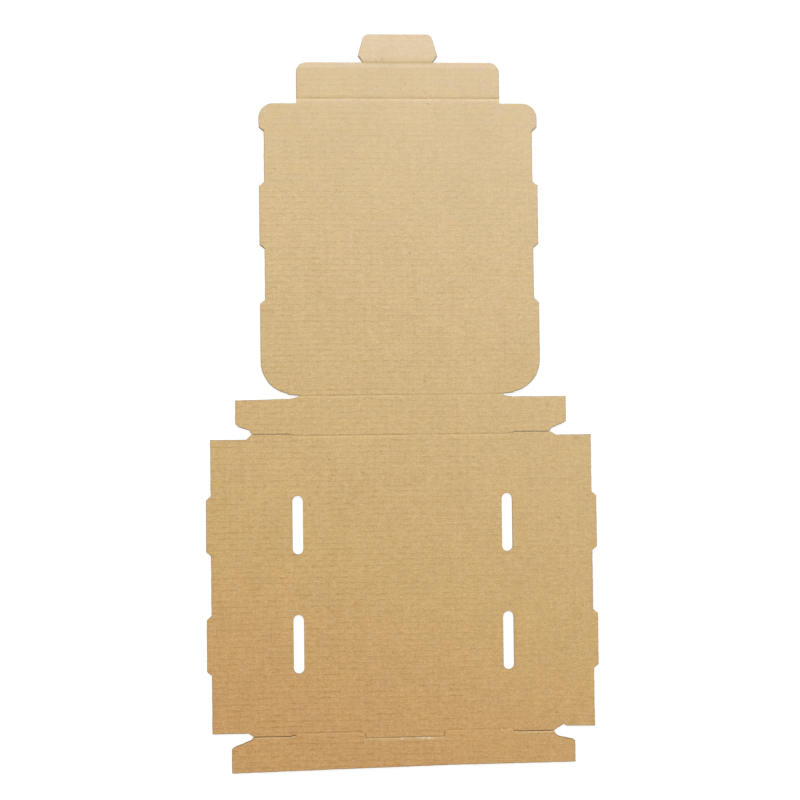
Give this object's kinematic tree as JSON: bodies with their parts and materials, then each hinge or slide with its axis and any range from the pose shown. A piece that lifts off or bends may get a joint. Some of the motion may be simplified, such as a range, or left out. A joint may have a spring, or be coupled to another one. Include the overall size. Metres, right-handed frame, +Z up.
{
  "type": "shipping box blank",
  "caption": "Flat die-cut corrugated blank of a shallow shipping box: base with slots, hinged lid, ears, tuck tab and roll-over side walls.",
  "frame": {"origin": "centre of the base panel's underside, which rests on the surface", "axes": "+Z up, out of the inside face; +Y along the sheet from the front wall towards the lid and tuck tab; +X to the right seen from above with the lid away from the viewer"},
  "size_m": [0.215, 0.4051, 0.0014],
  "materials": {
    "kraft_board": "matte brown kraft liner on fine-flute corrugated board"
  },
  "bodies": {
    "base": {"base": "kraft_board"},
    "back_wall": {"back_wall": "kraft_board"},
    "left_back_ear": {"left_back_ear": "kraft_board"},
    "right_back_ear": {"right_back_ear": "kraft_board"},
    "lid": {"lid": "kraft_board"},
    "left_lid_flap": {"left_lid_flap": "kraft_board"},
    "right_lid_flap": {"right_lid_flap": "kraft_board"},
    "lid_front_flap": {"lid_front_flap": "kraft_board"},
    "tuck_tab": {"tuck_tab": "kraft_board"},
    "front_wall": {"front_wall": "kraft_board"},
    "left_front_ear": {"left_front_ear": "kraft_board"},
    "right_front_ear": {"right_front_ear": "kraft_board"},
    "left_side_wall": {"left_side_wall": "kraft_board"},
    "right_side_wall": {"right_side_wall": "kraft_board"},
    "left_side_top": {"left_side_top": "kraft_board"},
    "right_side_top": {"right_side_top": "kraft_board"},
    "left_side_lining": {"left_side_lining": "kraft_board"},
    "right_side_lining": {"right_side_lining": "kraft_board"}
  },
  "joints": [
    {"name": "back_wall_fold", "type": "hinge", "parent": "base", "child": "back_wall", "pos_m": [0, 0.08115, 0.0007], "axis": [1, 0, 0], "range_deg": [0, 90]},
    {"name": "left_back_ear_fold", "type": "hinge", "parent": "back_wall", "child": "left_back_ear", "pos_m": [-0.05945, 0.0922, 0.0007], "axis": [0, 1, 0], "range_deg": [0, 90]},
    {"name": "right_back_ear_fold", "type": "hinge", "parent": "back_wall", "child": "right_back_ear", "pos_m": [0.05945, 0.0922, 0.0007], "axis": [0, -1, 0], "range_deg": [0, 90]},
    {"name": "lid_hinge", "type": "hinge", "parent": "back_wall", "child": "lid", "pos_m": [0, 0.10335, 0.0007], "axis": [1, 0, 0], "range_deg": [0, 90]},
    {"name": "left_lid_flap_fold", "type": "hinge", "parent": "lid", "child": "left_lid_flap", "pos_m": [-0.0563, 0.18535, 0.0007], "axis": [0, 1, 0], "range_deg": [0, 90]},
    {"name": "right_lid_flap_fold", "type": "hinge", "parent": "lid", "child": "right_lid_flap", "pos_m": [0.0563, 0.18535, 0.0007], "axis": [0, -1, 0], "range_deg": [0, 90]},
    {"name": "lid_front_flap_fold", "type": "hinge", "parent": "lid", "child": "lid_front_flap", "pos_m": [0, 0.26735, 0.0007], "axis": [1, 0, 0], "range_deg": [0, 90]},
    {"name": "tuck_tab_fold", "type": "hinge", "parent": "lid_front_flap", "child": "tuck_tab", "pos_m": [0, 0.28755, 0.0007], "axis": [1, 0, 0], "range_deg": [0, 90]},
    {"name": "front_wall_fold", "type": "hinge", "parent": "base", "child": "front_wall", "pos_m": [0, -0.08115, 0.0007], "axis": [-1, 0, 0], "range_deg": [0, 90]},
    {"name": "left_front_ear_fold", "type": "hinge", "parent": "front_wall", "child": "left_front_ear", "pos_m": [-0.05945, -0.0912, 0.0007], "axis": [0, 1, 0], "range_deg": [0, 90]},
    {"name": "right_front_ear_fold", "type": "hinge", "parent": "front_wall", "child": "right_front_ear", "pos_m": [0.05945, -0.0912, 0.0007], "axis": [0, -1, 0], "range_deg": [0, 90]},
    {"name": "left_side_wall_fold", "type": "hinge", "parent": "base", "child": "left_side_wall", "pos_m": [-0.061, 0, 0.0007], "axis": [0, 1, 0], "range_deg": [0, 90]},
    {"name": "right_side_wall_fold", "type": "hinge", "parent": "base", "child": "right_side_wall", "pos_m": [0.061, 0, 0.0007], "axis": [0, -1, 0], "range_deg": [0, 90]},
    {"name": "left_side_top_fold", "type": "hinge", "parent": "left_side_wall", "child": "left_side_top", "pos_m": [-0.0824, 0, 0.0007], "axis": [0, 1, 0], "range_deg": [0, 90]},
    {"name": "right_side_top_fold", "type": "hinge", "parent": "right_side_wall", "child": "right_side_top", "pos_m": [0.0824, 0, 0.0007], "axis": [0, -1, 0], "range_deg": [0, 90]},
    {"name": "left_side_lining_fold", "type": "hinge", "parent": "left_side_top", "child": "left_side_lining", "pos_m": [-0.0855, 0, 0.0007], "axis": [0, 1, 0], "range_deg": [0, 90]},
    {"name": "right_side_lining_fold", "type": "hinge", "parent": "right_side_top", "child": "right_side_lining", "pos_m": [0.0855, 0, 0.0007], "axis": [0, -1, 0], "range_deg": [0, 90]}
  ]
}
